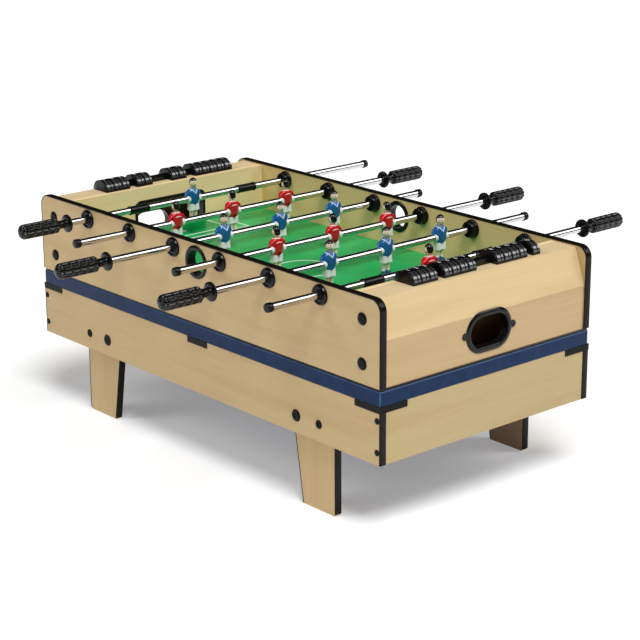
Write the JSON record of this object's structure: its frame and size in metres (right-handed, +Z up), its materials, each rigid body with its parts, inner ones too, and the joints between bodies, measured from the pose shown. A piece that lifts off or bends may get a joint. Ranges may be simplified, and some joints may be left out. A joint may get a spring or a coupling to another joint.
{
  "type": "foosball table",
  "caption": "Compact free-standing foosball table on a shallow base box with tapered board legs, sliding and spinning rods with playing figures, and bead score counters.",
  "frame": {"origin": "on the floor, under the middle of the table and its rods", "axes": "+X along the table from the blue goal to the red goal, +Y across it towards the far side, +Z up"},
  "size_m": [0.8716, 0.9045, 0.387],
  "materials": {
    "maple": "satin maple laminate on board, fine grain along the length",
    "navy_laminate": "navy laminate with a light bevel along its edges",
    "printed_field": "satin green print with white pitch lines",
    "black_plastic": "black moulded plastic with a soft sheen",
    "chrome_steel": "polished chromed steel tube",
    "blue_figure": "painted plastic figure in blue shirt and white shorts",
    "red_figure": "painted plastic figure in red shirt and white shorts"
  },
  "bodies": {
    "table": {"base_end_left": "maple", "base_end_right": "maple", "base_side_far": "maple", "base_side_near": "maple", "end_cover_left": "maple", "end_cover_right": "maple", "goal_wall_left": "maple", "goal_wall_right": "maple", "leg_far_left": "maple", "leg_far_right": "maple", "leg_near_left": "maple", "leg_near_right": "maple", "middle_board": "navy_laminate", "play_field": "printed_field", "return_ring_left": "black_plastic", "return_ring_right": "black_plastic", "score_rail_left": "black_plastic", "score_rail_right": "black_plastic", "top_side_far": "maple", "top_side_near": "maple"},
    "score_beads_left": {"score_beads_left": "black_plastic"},
    "score_beads_right": {"score_beads_right": "black_plastic"},
    "bearings_1": {"bearing_1_near": "black_plastic", "bearing_1_far": "black_plastic"},
    "rod_1": {"rod_1": "chrome_steel", "handle_1": "black_plastic", "man_1_keeper": "blue_figure"},
    "bearings_2": {"bearing_2_near": "black_plastic", "bearing_2_far": "black_plastic"},
    "rod_2": {"rod_2": "chrome_steel", "handle_2": "black_plastic", "man_2_near": "red_figure", "man_2_middle": "red_figure", "man_2_far": "red_figure"},
    "bearings_3": {"bearing_3_near": "black_plastic", "bearing_3_far": "black_plastic"},
    "rod_3": {"rod_3": "chrome_steel", "handle_3": "black_plastic", "man_3_near": "blue_figure", "man_3_middle": "blue_figure", "man_3_far": "blue_figure"},
    "bearings_4": {"bearing_4_near": "black_plastic", "bearing_4_far": "black_plastic"},
    "rod_4": {"rod_4": "chrome_steel", "handle_4": "black_plastic", "man_4_near": "red_figure", "man_4_middle": "red_figure", "man_4_far": "red_figure"},
    "bearings_5": {"bearing_5_near": "black_plastic", "bearing_5_far": "black_plastic"},
    "rod_5": {"rod_5": "chrome_steel", "handle_5": "black_plastic", "man_5_near": "blue_figure", "man_5_middle": "blue_figure", "man_5_far": "blue_figure"},
    "bearings_6": {"bearing_6_near": "black_plastic", "bearing_6_far": "black_plastic"},
    "rod_6": {"rod_6": "chrome_steel", "handle_6": "black_plastic", "man_6_keeper": "red_figure"}
  },
  "joints": [
    {"name": "rod_1_spin", "type": "hinge", "parent": "table", "child": "bearings_1", "pos_m": [-0.2915, 0, 0.35], "axis": [0, 1, 0], "continuous": true},
    {"name": "rod_1_slide", "type": "slide", "parent": "bearings_1", "child": "rod_1", "axis": [0, 1, 0], "range_m": [-0.0592, 0.0328]},
    {"name": "rod_2_spin", "type": "hinge", "parent": "table", "child": "bearings_2", "pos_m": [-0.1721, 0, 0.35], "axis": [0, 1, 0], "continuous": true},
    {"name": "rod_2_slide", "type": "slide", "parent": "bearings_2", "child": "rod_2", "axis": [0, 1, 0], "range_m": [-0.0541, 0.0713]},
    {"name": "rod_3_spin", "type": "hinge", "parent": "table", "child": "bearings_3", "pos_m": [-0.0527, 0, 0.35], "axis": [0, 1, 0], "continuous": true},
    {"name": "rod_3_slide", "type": "slide", "parent": "bearings_3", "child": "rod_3", "axis": [0, 1, 0], "range_m": [-0.0612, 0.0642]},
    {"name": "rod_4_spin", "type": "hinge", "parent": "table", "child": "bearings_4", "pos_m": [0.0667, 0, 0.35], "axis": [0, 1, 0], "continuous": true},
    {"name": "rod_4_slide", "type": "slide", "parent": "bearings_4", "child": "rod_4", "axis": [0, 1, 0], "range_m": [-0.0737, 0.0517]},
    {"name": "rod_5_spin", "type": "hinge", "parent": "table", "child": "bearings_5", "pos_m": [0.1861, 0, 0.35], "axis": [0, 1, 0], "continuous": true},
    {"name": "rod_5_slide", "type": "slide", "parent": "bearings_5", "child": "rod_5", "axis": [0, 1, 0], "range_m": [-0.0799, 0.0455]},
    {"name": "rod_6_spin", "type": "hinge", "parent": "table", "child": "bearings_6", "pos_m": [0.3055, 0, 0.35], "axis": [0, 1, 0], "continuous": true},
    {"name": "rod_6_slide", "type": "slide", "parent": "bearings_6", "child": "rod_6", "axis": [0, 1, 0], "range_m": [-0.0574, 0.0642]},
    {"name": "score_slide_left", "type": "slide", "parent": "table", "child": "score_beads_left", "axis": [0, 1, 0], "range_m": [-0.04, 0.018]},
    {"name": "score_slide_right", "type": "slide", "parent": "table", "child": "score_beads_right", "axis": [0, 1, 0], "range_m": [-0.012, 0.042]}
  ]
}
